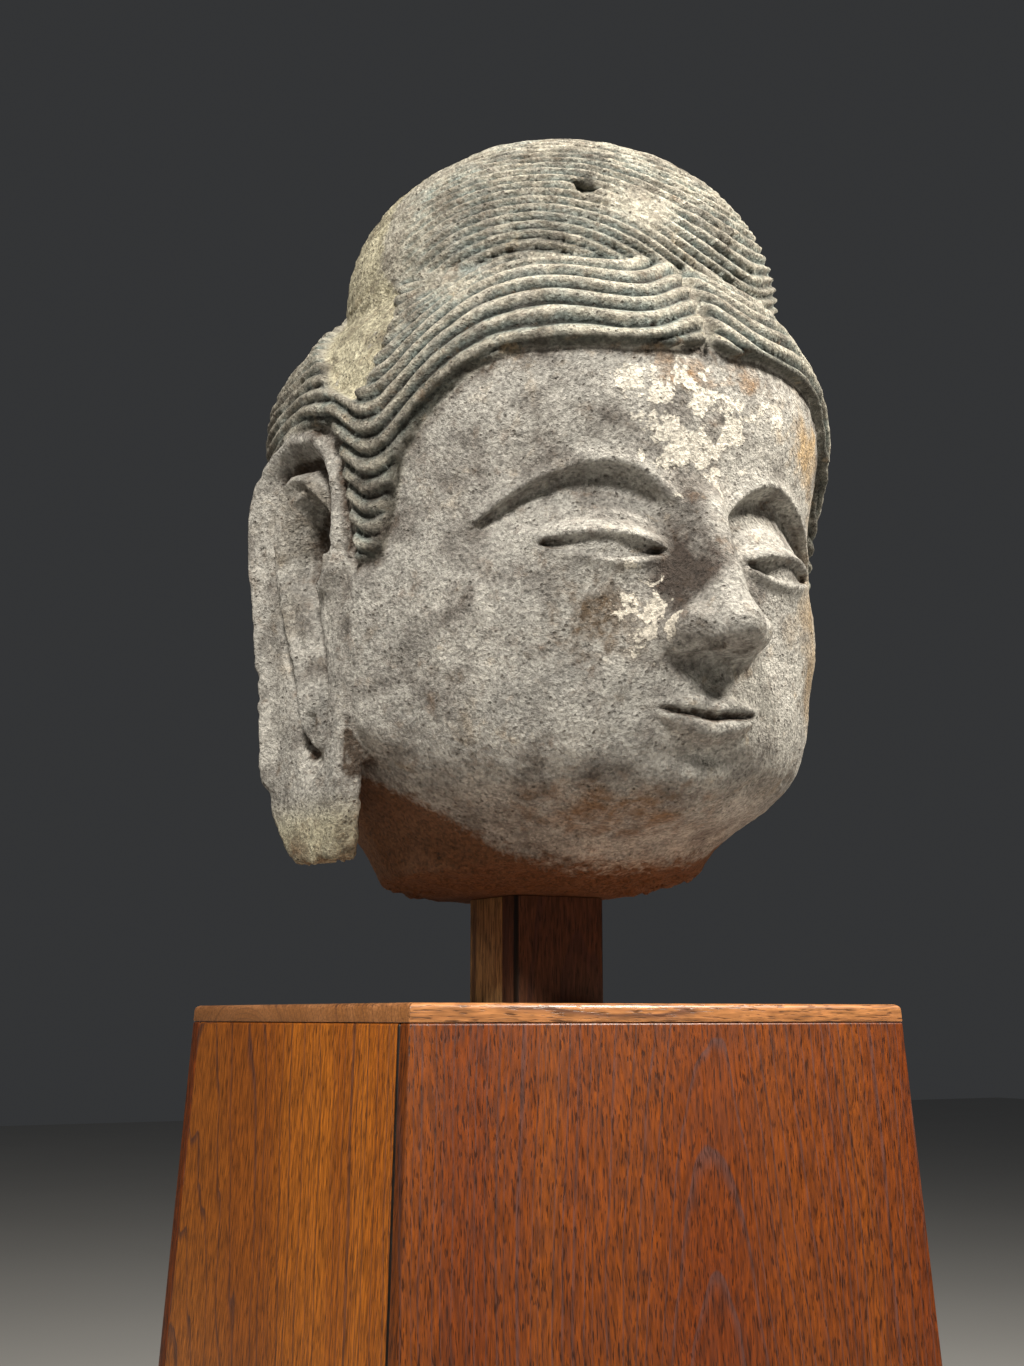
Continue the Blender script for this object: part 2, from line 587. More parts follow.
def strand_carving():
    """Geometry Nodes: cut every strand of hair into the surface from its number and depth.

    A strand is full and round at its lower edge and falls away slowly above to the next groove.
    """
    tree = bpy.data.node_groups.new("strand_carving", "GeometryNodeTree")
    socket = tree.interface.new_socket
    socket("Geometry", in_out="INPUT", socket_type="NodeSocketGeometry")
    socket("Depth scale", in_out="INPUT", socket_type="NodeSocketFloat")
    socket("Round share", in_out="INPUT", socket_type="NodeSocketFloat")
    socket("Hand wobble", in_out="INPUT", socket_type="NodeSocketFloat")
    socket("Wobble size", in_out="INPUT", socket_type="NodeSocketFloat")
    socket("Seed", in_out="INPUT", socket_type="NodeSocketFloat")
    socket("Material", in_out="INPUT", socket_type="NodeSocketMaterial")
    socket("Geometry", in_out="OUTPUT", socket_type="NodeSocketGeometry")
    given = add(tree, "NodeGroupInput").outputs
    strand = add(tree, "GeometryNodeInputNamedAttribute", {"Name": "strand"}).outputs[0]
    depth = add(tree, "GeometryNodeInputNamedAttribute", {"Name": "strand_depth"}).outputs[0]
    place = add(tree, "GeometryNodeInputPosition").outputs[0]
    scale = add(tree, "ShaderNodeMath", {0: 1.0, 1: given["Wobble size"]}, operation="DIVIDE").outputs[0]
    wobble = add(tree, "ShaderNodeTexNoise", {"Vector": place, "W": given["Seed"], "Scale": scale,
                                              "Detail": 1.0}, noise_dimensions="4D").outputs[0]
    wobble = add(tree, "ShaderNodeMath", {0: wobble, 1: 0.5}, operation="SUBTRACT").outputs[0]
    count = add(tree, "ShaderNodeMath", {0: wobble, 1: given["Hand wobble"], 2: strand},
                operation="MULTIPLY_ADD").outputs[0]
    along = add(tree, "ShaderNodeMath", {0: count}, operation="FRACT").outputs[0]
    swell = add(tree, "ShaderNodeMapRange", {"Value": along, "From Min": 0.0,
                                             "From Max": given["Round share"],
                                             "To Min": 0.0, "To Max": math.pi / 2}).outputs[0]
    swell = add(tree, "ShaderNodeMath", {0: swell}, operation="SINE").outputs[0]
    fall = add(tree, "ShaderNodeMapRange", {"Value": along, "From Min": given["Round share"],
                                            "From Max": 1.0,
                                            "To Min": 0.0, "To Max": math.pi * .86}).outputs[0]
    fall = add(tree, "ShaderNodeMath", {0: fall}, operation="COSINE").outputs[0]
    fall = add(tree, "ShaderNodeMath", {0: fall, 1: 0.5, 2: -0.5}, operation="MULTIPLY_ADD").outputs[0]
    section = add(tree, "ShaderNodeMath", {0: swell, 1: fall}, operation="ADD", use_clamp=True).outputs[0]
    section = add(tree, "ShaderNodeMath", {0: section, 1: 0.7}, operation="POWER").outputs[0]
    lift = add(tree, "ShaderNodeMath", {0: section, 1: 0.75}, operation="SUBTRACT").outputs[0]
    lift = add(tree, "ShaderNodeMath", {0: lift, 1: depth}, operation="MULTIPLY").outputs[0]
    lift = add(tree, "ShaderNodeMath", {0: lift, 1: given["Depth scale"]},
               operation="MULTIPLY").outputs[0]
    normal = add(tree, "GeometryNodeInputNormal").outputs[0]
    offset = add(tree, "ShaderNodeVectorMath", {0: normal, "Scale": lift}, operation="SCALE").outputs[0]
    moved = add(tree, "GeometryNodeSetPosition", {"Geometry": given["Geometry"],
                                                  "Offset": offset}).outputs[0]
    share = add(tree, "ShaderNodeMath", {0: depth, 1: STRAND_DEPTH * MM}, operation="DIVIDE").outputs[0]
    hollow = add(tree, "ShaderNodeMath", {0: 1.0, 1: section}, operation="SUBTRACT").outputs[0]
    groove = add(tree, "ShaderNodeMath", {0: hollow, 1: share}, operation="MULTIPLY").outputs[0]
    kept = add(tree, "GeometryNodeStoreNamedAttribute", {"Geometry": moved, "Name": "groove",
                                                         "Value": groove},
               data_type="FLOAT", domain="POINT").outputs[0]
    real = add(tree, "GeometryNodeRealizeInstances", {"Geometry": kept}).outputs[0]
    done = add(tree, "GeometryNodeSetMaterial", {"Geometry": real,
                                                 "Material": given["Material"]}).outputs[0]
    add(tree, "NodeGroupOutput", {"Geometry": done})
    return tree


# ---------------------------------------------------------------- finishes
# Old paint, earth and stains on the stone: colour, middle and reach in the head's millimetres,
# size of the flakes, how soft their edges are and how much of the patch they cover
STAINS = [
    ("#bb9e74", (150, -255, 405), (75, 90, 42), 22, 0.9, 0.60),       # ochre on the left forehead
    ("#b59c78", (165, -240, 250), (80, 90, 150), 40, 1.1, 0.48),      # ochre down the left cheek
    ("#33241a", (-28, -320, 262), (30, 56, 90), 26, 1.0, 1.10),       # damp brown beside the nose
    ("#57432b", (-95, -300, 218), (60, 60, 44), 9, 1.0, 0.72),        # dark earth on the right cheek
    ("#8b6a44", (-10, -325, 440), (150, 90, 30), 18, 0.8, 0.36),      # brown below the hairline
    ("#7a5b3d", (-70, -250, 58), (130, 90, 34), 14, 1.0, 0.62),       # earth along the jaw
    ("#6f675a", (-262, -30, 325), (40, 80, 100), 20, 1.0, 0.55),      # grey dirt on the right ear
    ("#6b5238", (-245, -35, 28), (40, 60, 44), 16, 1.0, 0.50),        # brown on its lobe's break
    ("#dcd5c7", (-12, -312, 392), (82, 70, 70), 15, 0.08, 0.74),      # cream ground, flaking
    ("#dcd5c7", (-78, -300, 428), (46, 60, 26), 10, 0.08, 0.60),      # ... more of it on both sides
    ("#dcd5c7", (72, -300, 416), (34, 60, 20), 9, 0.08, 0.62),
    ("#d8d0c1", (-66, -312, 225), (42, 60, 58), 9, 0.08, 0.56),       # ... and on the right cheek
]


def carved_stone():
    """Weathered sandstone, cut with a point and rubbed down, then painted and buried.

    Loose, granular and matt: pale grains and dark pits some 3 mm across, greyer where hands and
    weather reached it, yellow where it broke later, blue-green paint left in the hair.
    """
    material = bpy.data.materials.new("weathered_sandstone")
    material.use_nodes = True
    tree = material.node_tree
    shader = tree.nodes["Principled BSDF"]
    coords = add(tree, "ShaderNodeTexCoord").outputs["Object"]
    cloud = add(tree, "ShaderNodeTexNoise", {"Vector": coords, "Scale": per_metre(70), "Detail": 5.0,
                                             "Roughness": 0.62}).outputs[0]
    mottle = add(tree, "ShaderNodeTexNoise", {"Vector": coords, "Scale": per_metre(9), "Detail": 4.0,
                                              "Roughness": 0.7}).outputs[0]
    # grains of 0.3 mm are drawn some 3 mm wide, or they would not show
    grain = add(tree, "ShaderNodeTexNoise", {"Vector": coords, "Scale": per_metre(3.2), "Detail": 4.0,
                                             "Roughness": 0.65}).outputs[0]
    speck = add(tree, "ShaderNodeTexVoronoi", {"Vector": coords, "Scale": per_metre(2.7),
                                               "Randomness": 1.0}).outputs["Color"]
    speck = add(tree, "ShaderNodeSeparateColor", {0: speck}).outputs[0]
    pores = add(tree, "ShaderNodeTexVoronoi", {"Vector": coords, "Scale": per_metre(6),
                                               "Randomness": 1.0}).outputs["Distance"]
    hair = add(tree, "ShaderNodeAttribute", attribute_name="hair").outputs["Fac"]
    groove = add(tree, "ShaderNodeAttribute", attribute_name="groove").outputs["Fac"]
    broken = add(tree, "ShaderNodeAttribute", attribute_name="broken").outputs["Fac"]
    hollow = add(tree, "ShaderNodeAttribute", attribute_name="hollow").outputs["Fac"]
    under = add(tree, "ShaderNodeAttribute", attribute_name="under").outputs["Fac"]
    soot = add(tree, "ShaderNodeAttribute", attribute_name="soot").outputs["Fac"]

    # bare stone: grey-tan, clouded
    step = add(tree, "ShaderNodeMapRange", {"Value": cloud, "From Min": 0.36,
                                            "From Max": 0.66}).outputs[0]
    colour = add(tree, "ShaderNodeMix", {0: step, 6: linear("#9d9a93"), 7: linear("#bcb8af")},
                 data_type="RGBA").outputs[2]
    step = add(tree, "ShaderNodeMapRange", {"Value": mottle, "From Min": 0.50,
                                            "From Max": 0.68}).outputs[0]
    step = add(tree, "ShaderNodeMath", {0: step, 1: 0.32}, operation="MULTIPLY").outputs[0]
    colour = add(tree, "ShaderNodeMix", {0: step, 6: colour, 7: linear("#79766f")},
                 data_type="RGBA").outputs[2]

    # later breaks show the stone's own pale yellow
    step = add(tree, "ShaderNodeMapRange", {"Value": mottle, "From Min": 0.35,
                                            "From Max": 0.7}).outputs[0]
    fresh = add(tree, "ShaderNodeMix", {0: step, 6: linear("#a9a289"), 7: linear("#d3ccb1")},
                data_type="RGBA").outputs[2]
    colour = add(tree, "ShaderNodeMix", {0: broken, 6: colour, 7: fresh}, data_type="RGBA").outputs[2]

    # the hair's ground is duller, with blue-green paint left in patches and in the grooves
    step = add(tree, "ShaderNodeMapRange", {"Value": mottle, "From Min": 0.38,
                                            "From Max": 0.64}).outputs[0]
    ground = add(tree, "ShaderNodeMix", {0: step, 6: linear("#878375"), 7: linear("#b6b0a1")},
                 data_type="RGBA").outputs[2]
    left_on = add(tree, "ShaderNodeTexNoise", {"Vector": coords, "Scale": per_metre(38), "Detail": 5.0,
                                               "Roughness": 0.7, "Distortion": 0.4}).outputs[0]
    reach = add(tree, "ShaderNodeMath", {0: groove, 1: 0.42, 2: left_on},
                operation="MULTIPLY_ADD").outputs[0]
    paint = add(tree, "ShaderNodeMapRange", {"Value": reach, "From Min": 0.52, "From Max": 0.80,
                                             "To Max": 0.60}).outputs[0]
    ground = add(tree, "ShaderNodeMix", {0: paint, 6: ground, 7: linear("#869a98")},
                 data_type="RGBA").outputs[2]
    deep = add(tree, "ShaderNodeMapRange", {"Value": groove, "From Min": 0.29, "From Max": 0.68,
                                            "To Max": 0.94}).outputs[0]
    ground = add(tree, "ShaderNodeMix", {0: deep, 6: ground, 7: linear("#252a25")},
                 data_type="RGBA").outputs[2]
    rubbed = add(tree, "ShaderNodeMapRange", {"Value": groove, "From Min": 0.20, "From Max": 0.02,
                                              "To Max": 0.55}).outputs[0]
    rubbed = add(tree, "ShaderNodeMath", {0: rubbed, 1: mottle}, operation="MULTIPLY").outputs[0]
    ground = add(tree, "ShaderNodeMix", {0: rubbed, 6: ground, 7: linear("#d2ccbc")},
                 data_type="RGBA").outputs[2]
    step = add(tree, "ShaderNodeMath", {0: soot, 1: 0.8}, operation="MULTIPLY").outputs[0]
    ground = add(tree, "ShaderNodeMix", {0: step, 6: ground, 7: linear("#3d3e38")},
                 data_type="RGBA").outputs[2]
    bare_hair = add(tree, "ShaderNodeMath", {0: hair, 1: broken, 2: 0.0}, operation="SUBTRACT",
                    use_clamp=True).outputs[0]
    colour = add(tree, "ShaderNodeMix", {0: bare_hair, 6: colour, 7: ground}, data_type="RGBA").outputs[2]

    # stains and what is left of the paint, each worn to flakes
    raised = None
    for code, middle, extent, flake, soft, cover in STAINS:
        centre = [HEAD_SEAT[k] + middle[k] * MM for k in range(3)]
        off = add(tree, "ShaderNodeVectorMath", {0: coords, 1: centre}, operation="SUBTRACT").outputs[0]
        off = add(tree, "ShaderNodeVectorMath", {0: off, 1: [v * MM for v in extent]},
                  operation="DIVIDE").outputs[0]
        far = add(tree, "ShaderNodeVectorMath", {0: off}, operation="LENGTH").outputs["Value"]
        near = add(tree, "ShaderNodeMapRange", {"Value": far, "From Min": 1.15,
                                                "From Max": 0.35}).outputs[0]
        flakes = add(tree, "ShaderNodeTexNoise", {"Vector": coords, "Scale": per_metre(flake * 1.6),
                                                  "Detail": 6.0, "Roughness": 0.62,
                                                  "Distortion": 0.3}).outputs[0]
        amount = add(tree, "ShaderNodeMath", {0: near, 1: 0.30, 2: flakes},
                     operation="MULTIPLY_ADD").outputs[0]
        start = 0.92 - 0.27 * cover
        amount = add(tree, "ShaderNodeMapRange", {"Value": amount, "From Min": start - soft * 0.15,
                                                  "From Max": start + soft * 0.15,
                                                  "To Max": 0.9}).outputs[0]
        colour = add(tree, "ShaderNodeMix", {0: amount, 6: colour, 7: linear(code)},
                     data_type="RGBA").outputs[2]
        if soft < 0.2:
            raised = amount if raised is None else add(
                tree, "ShaderNodeMath", {0: raised, 1: amount}, operation="MAXIMUM").outputs[0]

    # dirt in the carved hollows, and the brown underside that weather never washed
    step = add(tree, "ShaderNodeMath", {0: hollow, 1: mottle}, operation="MULTIPLY").outputs[0]
    step = add(tree, "ShaderNodeMapRange", {"Value": step, "From Min": 0.10, "From Max": 0.48,
                                            "To Max": 0.9}).outputs[0]
    colour = add(tree, "ShaderNodeMix", {0: step, 6: colour, 7: linear("#423121")},
                 data_type="RGBA").outputs[2]
    uneven = add(tree, "ShaderNodeMath", {0: mottle, 1: cloud}, operation="ADD").outputs[0]
    step = add(tree, "ShaderNodeMath", {0: uneven, 1: 0.9, 2: under}, operation="MULTIPLY_ADD").outputs[0]
    step = add(tree, "ShaderNodeMapRange", {"Value": step, "From Min": 1.12, "From Max": 1.42,
                                            "To Max": 0.94}).outputs[0]
    colour = add(tree, "ShaderNodeMix", {0: step, 6: colour, 7: linear("#6c4625")},
                 data_type="RGBA").outputs[2]

    # grains: light and dark, over everything
    step = add(tree, "ShaderNodeMapRange", {"Value": grain, "From Min": 0.34, "From Max": 0.66,
                                            "To Min": 0.62, "To Max": 1.10}).outputs[0]
    step = add(tree, "ShaderNodeMath", {0: speck, 1: 0.60, 2: step}, operation="MULTIPLY_ADD").outputs[0]
    step = add(tree, "ShaderNodeMath", {0: step, 1: 0.15}, operation="SUBTRACT").outputs[0]
    tint = add(tree, "ShaderNodeCombineColor", {0: step, 1: step, 2: step}).outputs[0]
    colour = add(tree, "ShaderNodeMix", {0: 1.0, 6: colour, 7: tint}, data_type="RGBA",
                 blend_type="MULTIPLY").outputs[2]
    holes = add(tree, "ShaderNodeMapRange", {"Value": pores, "From Min": 0.16, "From Max": 0.30,
                                             "To Min": 1.0, "To Max": 0.0}).outputs[0]
    sparse = add(tree, "ShaderNodeMapRange", {"Value": mottle, "From Min": 0.48,
                                              "From Max": 0.60}).outputs[0]
    holes = add(tree, "ShaderNodeMath", {0: holes, 1: sparse}, operation="MULTIPLY").outputs[0]
    step = add(tree, "ShaderNodeMath", {0: holes, 1: 0.62}, operation="MULTIPLY").outputs[0]
    colour = add(tree, "ShaderNodeMix", {0: step, 6: colour, 7: linear("#463d33")},
                 data_type="RGBA").outputs[2]

    # relief: lumps, grains, pores and the edge of the cream ground
    height = add(tree, "ShaderNodeMath", {0: mottle, 1: 2.6}, operation="MULTIPLY").outputs[0]
    height = add(tree, "ShaderNodeMath", {0: grain, 1: 1.5, 2: height},
                 operation="MULTIPLY_ADD").outputs[0]
    height = add(tree, "ShaderNodeMath", {0: holes, 1: -1.1, 2: height},
                 operation="MULTIPLY_ADD").outputs[0]
    height = add(tree, "ShaderNodeMath", {0: raised, 1: 0.5, 2: height},
                 operation="MULTIPLY_ADD").outputs[0]
    surface = add(tree, "ShaderNodeBump", {"Height": height, "Distance": 2.4 * MM,
                                           "Strength": 1.0}).outputs[0]
    tree.links.new(colour, shader.inputs["Base Color"])
    tree.links.new(surface, shader.inputs["Normal"])
    shader.inputs["Roughness"].default_value = 0.92
    shader.inputs["IOR"].default_value = 1.5
    return material


def planed_wood(name, pith, turn, ring, tones, gloss, streak=0.5, fitted=False, cornered=False):
    """Planed wood, oiled or waxed and rubbed: rings round a pith, dark pores along the grain.

    pith is a point on the tree's middle and turn the tilt of its axis (from upright), so a board
    shows straight, arched or end grain by how it was sawn. ring is a year's growth in mm. The four
    tones go from the palest wood to the pores, and streak is how far the fibres darken it. The eye
    gets a satin brown with fine dark lines, and short dark flecks where the pores are cut open.
    A fitted board has grime in the joints at its two upright edges; a cornered one has it on its
    sides, just behind the front.
    """
    material = bpy.data.materials.new(name)
    material.use_nodes = True
    tree = material.node_tree
    shader = tree.nodes["Principled BSDF"]
    coords = add(tree, "ShaderNodeTexCoord").outputs["Object"]
    local = add(tree, "ShaderNodeMapping", {"Vector": coords, "Location": pith, "Rotation": turn},
                vector_type="TEXTURE").outputs[0]
    sway = add(tree, "ShaderNodeMapping", {"Vector": local, "Scale": (1, 1, 0.25)}).outputs[0]
    drift = add(tree, "ShaderNodeTexNoise", {"Vector": sway, "Scale": per_metre(90), "Detail": 3.0},
                ).outputs["Color"]
    drift = add(tree, "ShaderNodeVectorMath", {0: drift, 1: (0.5, 0.5, 0.5)},
                operation="SUBTRACT").outputs[0]
    bent = add(tree, "ShaderNodeVectorMath", {0: drift, 1: [0.02] * 3, 2: local},
               operation="MULTIPLY_ADD").outputs[0]
    flat = add(tree, "ShaderNodeVectorMath", {0: bent, 1: (1, 1, 0)}, operation="MULTIPLY").outputs[0]
    radius = add(tree, "ShaderNodeVectorMath", {0: flat}, operation="LENGTH").outputs["Value"]
    count = add(tree, "ShaderNodeMath", {0: radius, 1: per_metre(ring)}, operation="MULTIPLY").outputs[0]
    unequal = add(tree, "ShaderNodeTexNoise", {"W": count, "Scale": 0.35, "Detail": 2.0},
                  noise_dimensions="1D").outputs[0]
    count = add(tree, "ShaderNodeMath", {0: unequal, 1: 2.2, 2: count},
                operation="MULTIPLY_ADD").outputs[0]
    year = add(tree, "ShaderNodeMath", {0: count}, operation="FRACT").outputs[0]
    line = add(tree, "ShaderNodeMapRange", {"Value": year, "From Min": 0.78, "From Max": 0.97},
               interpolation_type="SMOOTHSTEP").outputs[0]
    end = add(tree, "ShaderNodeMapRange", {"Value": year, "From Min": 0.97, "From Max": 1.0,
                                           "To Min": 1.0, "To Max": 0.0}).outputs[0]
    line = add(tree, "ShaderNodeMath", {0: line, 1: end}, operation="MULTIPLY").outputs[0]
    band = add(tree, "ShaderNodeTexNoise", {"W": count, "Scale": 0.16, "Detail": 1.0},
               noise_dimensions="1D").outputs[0]

    # fibres 0.5 mm thick are drawn 1.2 mm thick; pores are flecks 1 by 12 mm
    drawn = add(tree, "ShaderNodeMapping", {"Vector": bent, "Scale": (1, 1, 0.03)}).outputs[0]
    fibre = add(tree, "ShaderNodeTexNoise", {"Vector": drawn, "Scale": per_metre(2.4), "Detail": 3.0,
                                             "Roughness": 0.6}).outputs[0]
    short = add(tree, "ShaderNodeMapping", {"Vector": bent, "Scale": (1, 1, 0.085)}).outputs[0]
    fleck = add(tree, "ShaderNodeTexNoise", {"Vector": short, "Scale": per_metre(1.3),
                                             "Detail": 1.0}).outputs[0]
    fleck = add(tree, "ShaderNodeMapRange", {"Value": fleck, "From Min": 0.56,
                                             "From Max": 0.66}).outputs[0]
    # tone drifts along the fibres in patches of some 3 by 25 mm
    curl = add(tree, "ShaderNodeMapping", {"Vector": bent, "Scale": (1, 1, 0.13)}).outputs[0]
    curl = add(tree, "ShaderNodeTexNoise", {"Vector": curl, "Scale": per_metre(3.2),
                                            "Detail": 2.0}).outputs[0]
    facing = add(tree, "ShaderNodeTexCoord").outputs["Normal"]
    facing = add(tree, "ShaderNodeMapping", {"Vector": facing, "Rotation": turn},
                 vector_type="TEXTURE").outputs[0]
    facing = add(tree, "ShaderNodeSeparateXYZ", {0: facing}).outputs["Z"]
    facing = add(tree, "ShaderNodeMath", {0: facing}, operation="ABSOLUTE").outputs[0]

    light, middle_tone, dark, pore = (linear(code) for code in tones)
    step = add(tree, "ShaderNodeMapRange", {"Value": band, "From Min": 0.35, "From Max": 0.65}).outputs[0]
    colour = add(tree, "ShaderNodeMix", {0: step, 6: light, 7: middle_tone}, data_type="RGBA").outputs[2]
    step = add(tree, "ShaderNodeMapRange", {"Value": fibre, "From Min": 0.38, "From Max": 0.66,
                                            "To Max": streak}).outputs[0]
    colour = add(tree, "ShaderNodeMix", {0: step, 6: colour, 7: dark}, data_type="RGBA").outputs[2]
    step = add(tree, "ShaderNodeMath", {0: line, 1: 0.75}, operation="MULTIPLY").outputs[0]
    colour = add(tree, "ShaderNodeMix", {0: step, 6: colour, 7: linear("#4d3430")},
                 data_type="RGBA").outputs[2]
    step = add(tree, "ShaderNodeMath", {0: fleck, 1: 0.80}, operation="MULTIPLY").outputs[0]
    colour = add(tree, "ShaderNodeMix", {0: step, 6: colour, 7: pore}, data_type="RGBA").outputs[2]
    step = add(tree, "ShaderNodeMapRange", {"Value": curl, "From Min": 0.34, "From Max": 0.66,
                                            "To Min": 0.68, "To Max": 1.30}).outputs[0]
    tint = add(tree, "ShaderNodeCombineColor", {0: step, 1: step, 2: step}).outputs[0]
    colour = add(tree, "ShaderNodeMix", {0: 1.0, 6: colour, 7: tint}, data_type="RGBA",
                 blend_type="MULTIPLY").outputs[2]
    # end grain drinks the oil and stays darker
    step = add(tree, "ShaderNodeMapRange", {"Value": facing, "From Min": 0.80, "From Max": 0.95,
                                            "To Max": 0.45}).outputs[0]
    colour = add(tree, "ShaderNodeMix", {0: step, 6: colour, 7: middle_tone}, data_type="RGBA").outputs[2]
    if fitted:
        across = add(tree, "ShaderNodeVectorMath", {0: coords, 1: AXIS}, operation="SUBTRACT").outputs[0]
        across = add(tree, "ShaderNodeSeparateXYZ", {0: across}).outputs
        edge = add(tree, "ShaderNodeMath", {0: across["Y"]}, operation="ABSOLUTE").outputs[0]
        edge = add(tree, "ShaderNodeMath", {0: across["Z"], 1: TAPER, 2: edge},
                   operation="MULTIPLY_ADD").outputs[0]
        step = add(tree, "ShaderNodeMapRange", {"Value": edge, "From Min": FITTED_HALF - 3.2 * MM,
                                                "From Max": FITTED_HALF - 2.2 * MM}).outputs[0]
        colour = add(tree, "ShaderNodeMix", {0: step, 6: colour, 7: linear("#0d0805")},
                     data_type="RGBA").outputs[2]
    if cornered:
        behind = add(tree, "ShaderNodeSeparateXYZ", {0: coords}).outputs["Y"]
        behind = add(tree, "ShaderNodeMapRange", {"Value": behind, "From Min": POST_FRONT + 7.5 * MM,
                                                  "From Max": POST_FRONT + 6 * MM}).outputs[0]
        normal = add(tree, "ShaderNodeTexCoord").outputs["Normal"]
        sideways = add(tree, "ShaderNodeSeparateXYZ", {0: normal}).outputs["X"]
        sideways = add(tree, "ShaderNodeMath", {0: sideways}, operation="ABSOLUTE").outputs[0]
        sideways = add(tree, "ShaderNodeMapRange", {"Value": sideways, "From Min": 0.5,
                                                    "From Max": 0.7}).outputs[0]
        step = add(tree, "ShaderNodeMath", {0: behind, 1: sideways}, operation="MULTIPLY").outputs[0]
        colour = add(tree, "ShaderNodeMix", {0: step, 6: colour, 7: linear("#0d0805")},
                     data_type="RGBA").outputs[2]

    rough_step = add(tree, "ShaderNodeMapRange", {"Value": fibre, "From Min": 0.3, "From Max": 0.7,
                                                  "To Min": gloss - 0.06,
                                                  "To Max": gloss + 0.10}).outputs[0]
    height = add(tree, "ShaderNodeMath", {0: fleck, 1: -1.0, 2: fibre},
                 operation="MULTIPLY_ADD").outputs[0]
    surface = add(tree, "ShaderNodeBump", {"Height": height, "Distance": 0.25 * MM,
                                           "Strength": 0.5}).outputs[0]
    tree.links.new(colour, shader.inputs["Base Color"])
    tree.links.new(rough_step, shader.inputs["Roughness"])
    tree.links.new(surface, shader.inputs["Normal"])
    shader.inputs["IOR"].default_value = 1.5
    return material


def plain_floor():
    """Matt painted board: an even pale grey with the faintest clouding."""
    material = bpy.data.materials.new("matt_painted_floor")
    material.use_nodes = True
    tree = material.node_tree
    shader = tree.nodes["Principled BSDF"]
    coords = add(tree, "ShaderNodeTexCoord").outputs["Object"]
    cloud = add(tree, "ShaderNodeTexNoise", {"Vector": coords, "Scale": per_metre(900),
                                             "Detail": 2.0}).outputs[0]
    colour = add(tree, "ShaderNodeMix", {0: cloud, 6: linear("#c9c8c5"), 7: linear("#cfcecb")},
                 data_type="RGBA").outputs[2]
    tree.links.new(colour, shader.inputs["Base Color"])
    shader.inputs["Roughness"].default_value = 0.9
    return material


# ---------------------------------------------------------------- building the pieces
def linked(name, mesh):
    thing = bpy.data.objects.new(name, mesh)
    bpy.context.scene.collection.objects.link(thing)
    return thing


def frozen(thing, name):
    """The evaluated object as a plain mesh in a new object; the old object goes."""
    graph = bpy.context.evaluated_depsgraph_get()
    mesh = bpy.data.meshes.new_from_object(thing.evaluated_get(graph), depsgraph=graph)
    mesh.name = name
    old = thing.data
    bpy.data.objects.remove(thing)
    bpy.data.meshes.remove(old)
    return linked(name, mesh)


def store(mesh, name, values):
    mesh.attributes.new(name, "FLOAT", "POINT").data.foreach_set("value", np.asarray(values, np.float32))


def head_marks(mesh, points):
    """What each point of the head knows: its strand, and how the stone is there."""
    x, y, z = points.T
    bare = skin(x, y, z)
    normals = np.zeros(len(points) * 3, np.float32)
    mesh.vertices.foreach_get("normal", normals)
    normals = normals.reshape(-1, 3)
    around = degrees_round(x, y)
    far_out = np.abs(x) > EARS_OUTSIDE

    # the strands: the crown's own where it stands out of the hair, the waved ones elsewhere
    is_crown = crown(x, y, z) < hair_shell(x, y, z, bare) - 0.5
    number, depth = hair_strands(x, y, z)
    crown_number, crown_depth = crown_strands(x, y, z)
    to_hair = all_hair(x, y, z, bare)
    store(mesh, "strand", np.where(is_crown, crown_number, number))
    store(mesh, "strand_depth", np.where(is_crown, crown_depth, depth) * rise(2.5 - to_hair, 3) * MM)
    hair = clamp(0.5 - (to_hair - 1.5) / 3) * (z > 260)
    store(mesh, "hair", hair)

    # the breaks: the side lock, the right lobe's end and the left ear's stump
    lobe_end = far_out * rise(66 - z, 40)
    stump = (x > EARS_OUTSIDE) * (y > -120) * rise(150 - z, 20)
    store(mesh, "broken", clamp(break_mask(around, z) * (hair > .2) + lobe_end + stump))

    # the hollows: where a short way off the surface is still close to stone, and deep in the ears
    probe = 9.0
    out = points + normals * probe
    open_air = head(*out.T) / probe
    in_ear = far_out & (y > -105) & (y < curve(z, EAR_BACK) - 12) & (z > 95) & (z < 400)
    ear_dirt = in_ear * rise(ear_plane(y, z) - np.abs(x) - 5, 6)
    store(mesh, "hollow", clamp(1.05 - open_air + ear_dirt) * np.maximum(hair < .5, in_ear))

    # the underside that rain never washed, and soot under the strands
    never_washed = curve(np.abs(around), UNDERSIDE)
    store(mesh, "under", rise(never_washed - z, 56) * (np.abs(x) < EARS_OUTSIDE))
    store(mesh, "soot", rise(-normals[:, 2] - 0.2, 0.6) * hair)


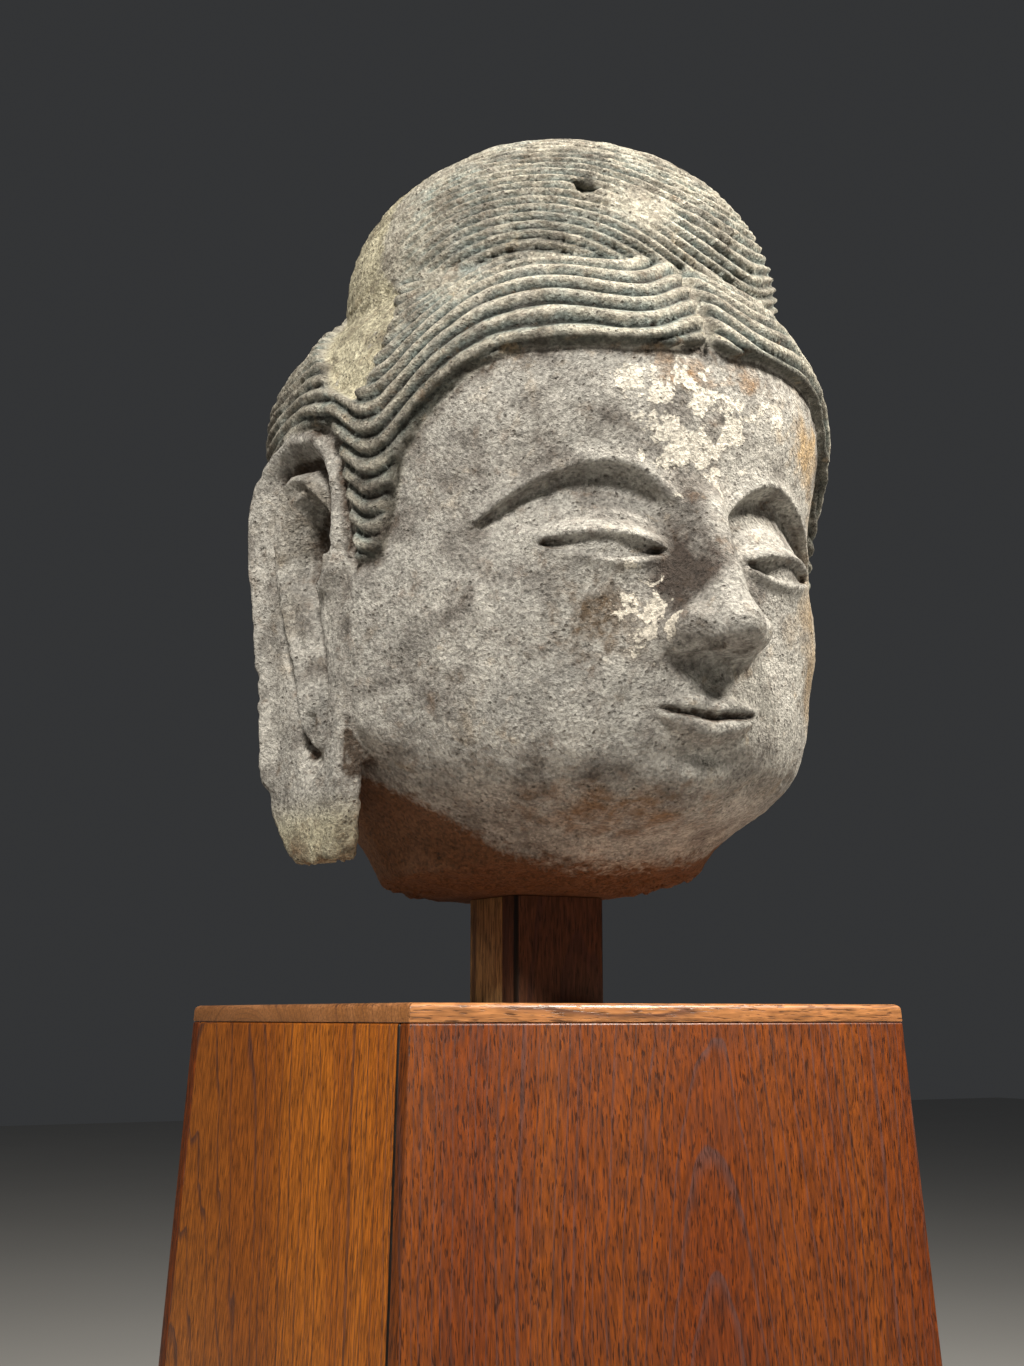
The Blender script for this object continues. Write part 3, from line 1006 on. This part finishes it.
def stone_head(stone):
    points, faces = surface_nets(head, LATTICE_LOW, LATTICE_HIGH, LATTICE)
    mesh = bpy.data.meshes.new("stone_head_fine")
    place = points * MM + np.array(HEAD_SEAT)
    mesh.from_pydata(place.tolist(), [], faces.tolist())
    mesh.polygons.foreach_set("use_smooth", [True] * len(mesh.polygons))
    mesh.update()
    head_marks(mesh, points)
    carved = linked("stone_head_fine", mesh)
    tree = strand_carving()
    nodes = carved.modifiers.new("strands", "NODES")
    nodes.node_group = tree
    given = {"Depth scale": 1.0, "Round share": 0.36, "Hand wobble": 0.6, "Wobble size": 75 * MM,
             "Seed": 4.0, "Material": stone}
    for item in tree.interface.items_tree:
        if item.in_out == "INPUT" and item.name in given:
            nodes[item.identifier] = given[item.name]
    carved = frozen(carved, "stone_head_carved")
    fewer = carved.modifiers.new("fewer", "DECIMATE")
    fewer.ratio = HEAD_TRIANGLES / (2 * len(carved.data.polygons))
    carved = frozen(carved, "stone_head_carved")
    keep_in_box(carved.data, HEAD_LOW, HEAD_HIGH)
    finish_piece(carved, "stone_head")


def keep_in_box(mesh, low, high):
    """Hold every point inside the frame's box for the piece."""
    flat = np.zeros(len(mesh.vertices) * 3)
    mesh.vertices.foreach_get("co", flat)
    held = np.clip(flat.reshape(-1, 3), np.array(low), np.array(high))
    mesh.vertices.foreach_set("co", held.ravel())
    mesh.update()


def finish_piece(piece, node):
    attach(piece, "root")
    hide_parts(node)


def worn_board(node, name, material, arris):
    """A board from the frame with its arrises eased by `arris` mm, as by hand and by wear."""
    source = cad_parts[node]
    mesh = source.data.copy()
    mesh.name = name
    build = bmesh.new()
    build.from_mesh(mesh)
    bmesh.ops.remove_doubles(build, verts=build.verts, dist=0.01 * MM)
    bmesh.ops.dissolve_limit(build, angle_limit=math.radians(2), verts=build.verts, edges=build.edges)
    build.to_mesh(mesh)
    build.free()
    mesh.materials.clear()
    mesh.materials.append(material)
    board = linked(name, mesh)
    eased = board.modifiers.new("arris", "BEVEL")
    eased.width = arris * MM
    eased.segments = 3
    eased.limit_method = "ANGLE"
    eased.angle_limit = math.radians(30)
    board = frozen(board, name)
    board.data.polygons.foreach_set("use_smooth", [True] * len(board.data.polygons))
    board.data.set_sharp_from_angle(angle=math.radians(25))
    finish_piece(board, node)


def build():
    add_camera()
    add_stage()
    stone_head(carved_stone())
    # oiled teak, satin: red-brown in front and behind, golden on the sides, pale on top; the post
    # is another hardwood, browner and duller under a thin wax
    red = ("#793d0f", "#6a2f0a", "#401805", "#260e04")
    golden = ("#bb6c1e", "#a45a17", "#703a12", "#48240b")
    pale = ("#bd8354", "#a06a3c", "#7c4a28", "#4a2b17")
    brown = ("#6e4b36", "#5f3d2b", "#3f281c", "#2c1c14")
    tan = ("#c6a16e", "#b28e5e", "#7a6141", "#4d3b25")
    front = planed_wood("oiled_teak_front", (0.03, AXIS.y - 0.331, 0.2), (math.radians(1.7), 0, 0),
                        9, red, 0.38)
    side = planed_wood("oiled_teak_side", (-0.9, AXIS.y + 0.25, 0.4), (math.radians(1.0), 0, 0),
                       7, golden, 0.40, fitted=True)
    top = planed_wood("oiled_teak_top", (0, AXIS.y + 0.1, 0.78), (0, math.radians(90), 0),
                      6, pale, 0.34)
    post = planed_wood("waxed_hardwood_post", (0.02, AXIS.y - 0.22, 0.9), (math.radians(2), 0, 0),
                       9, brown, 0.5, 0.35, cornered=True)
    block = planed_wood("waxed_hardwood_block", (-0.2, AXIS.y + 0.3, 0.9), (math.radians(1), 0, 0),
                        8, tan, 0.5, 0.35)
    worn_board("plinth_top_board", "top_board", top, 1.2)
    worn_board("plinth_front_panel", "front_panel", front, 2.2)
    worn_board("plinth_back_panel", "back_panel", front, 2.2)
    worn_board("plinth_right_panel", "right_panel", side, 2.6)
    worn_board("plinth_left_panel", "left_panel", side, 2.6)
    worn_board("post_front_board", "post_front", post, 0.8)
    worn_board("post_rear_block", "post_rear", block, 0.8)


build()
